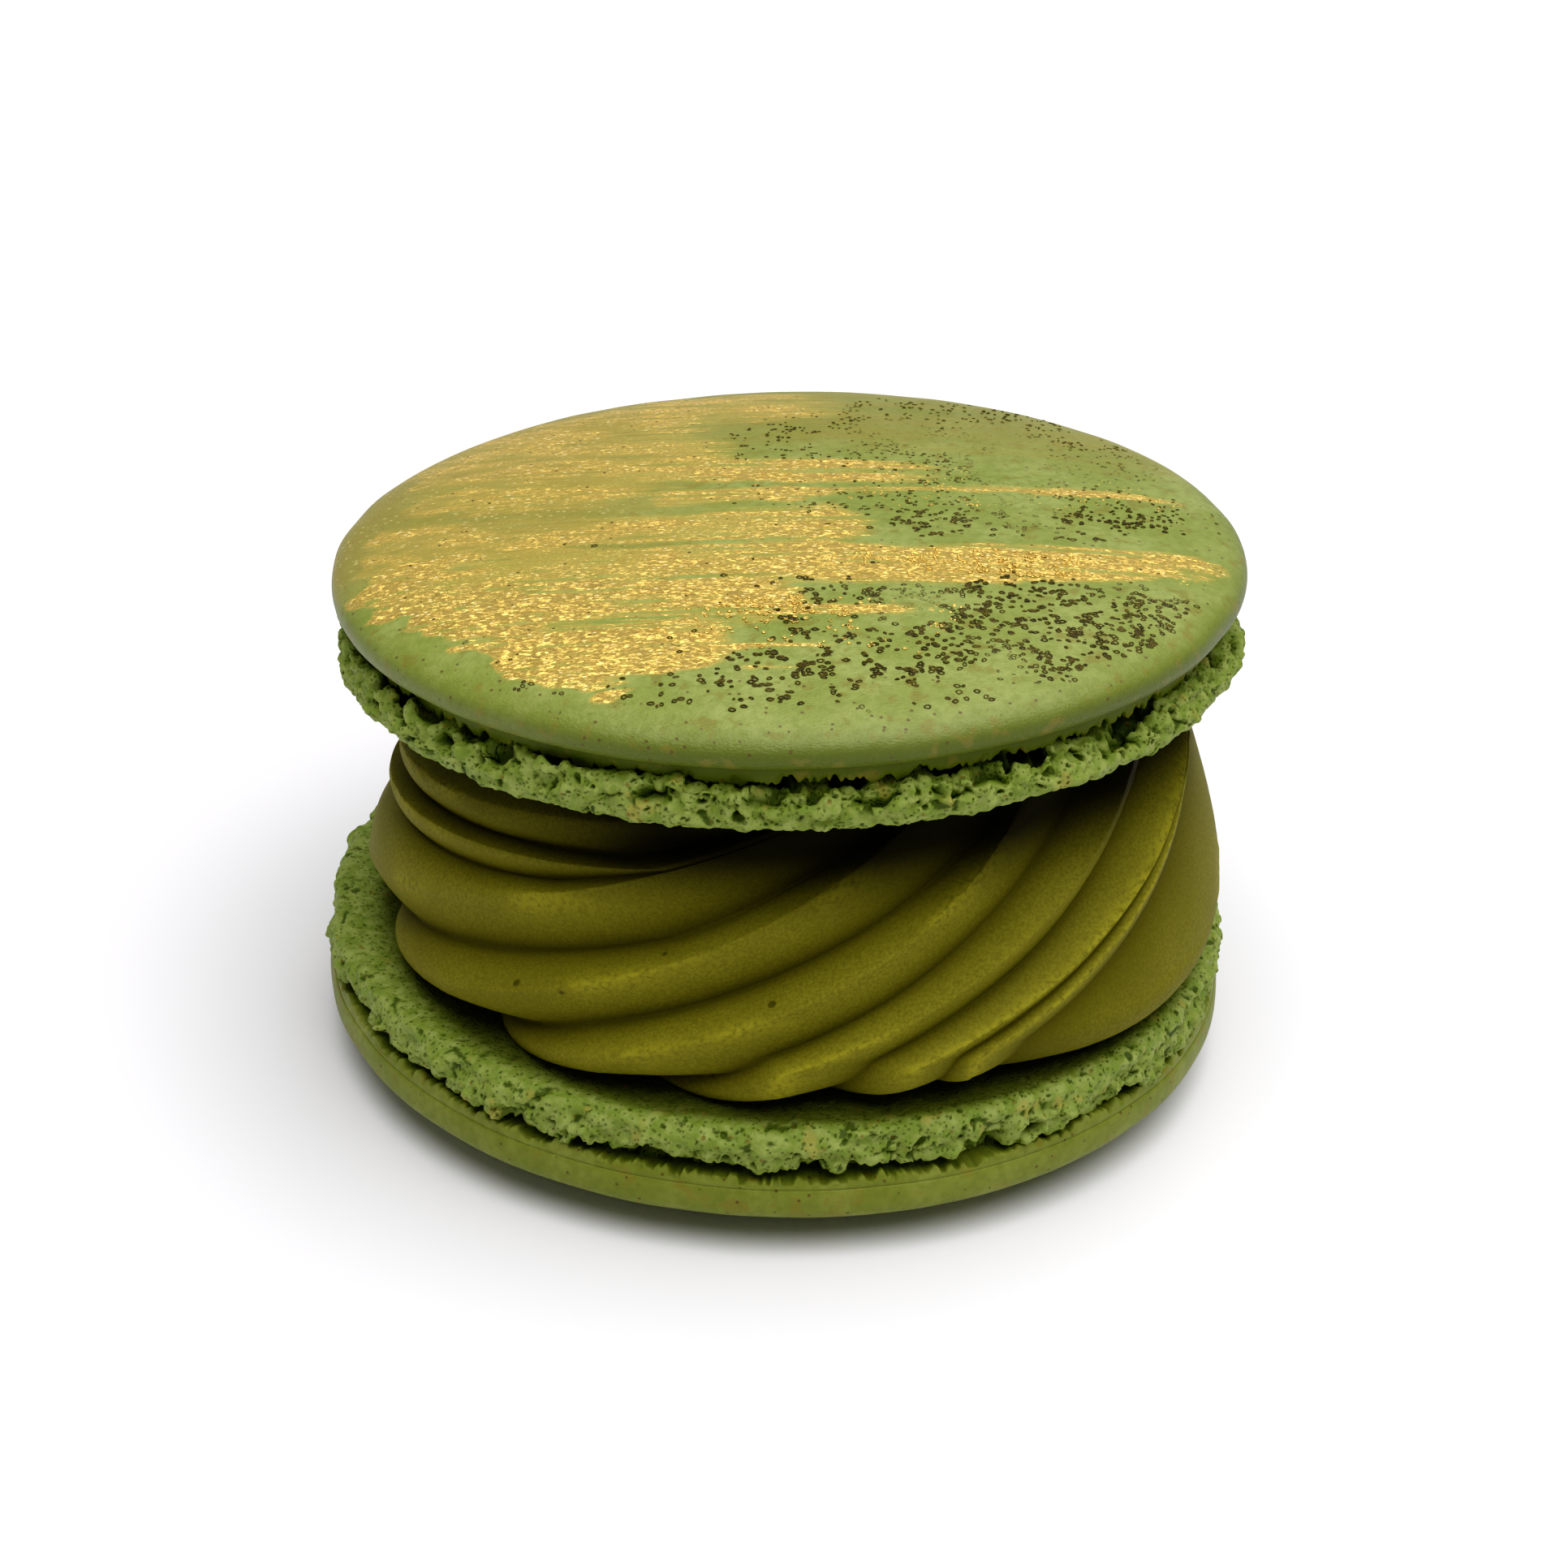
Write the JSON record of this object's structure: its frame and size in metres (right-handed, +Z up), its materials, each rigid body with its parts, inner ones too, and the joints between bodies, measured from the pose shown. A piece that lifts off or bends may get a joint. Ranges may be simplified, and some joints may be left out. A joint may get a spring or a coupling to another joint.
{
  "type": "french macaron",
  "caption": "Large French macaron: green almond meringue shells with frilly feet round a tall twisted swirl of piped ganache, the upper shell brushed with gold.",
  "frame": {"origin": "on the table, under the middle of the macaron", "axes": "+Z up, -Y towards the front, +X to the right"},
  "size_m": [0.05, 0.0501, 0.0308],
  "materials": {
    "meringue": "baked almond meringue: satin smooth cap, crumbly porous foot, fine brown specks",
    "ganache": "satin piped ganache with a fine grain",
    "painted_meringue": "baked almond meringue with brushed gold lustre and dark powder specks on its cap"
  },
  "bodies": {
    "root": {"shell_lower": "meringue", "swirl": "ganache", "shell_upper": "painted_meringue"}
  },
  "joints": []
}
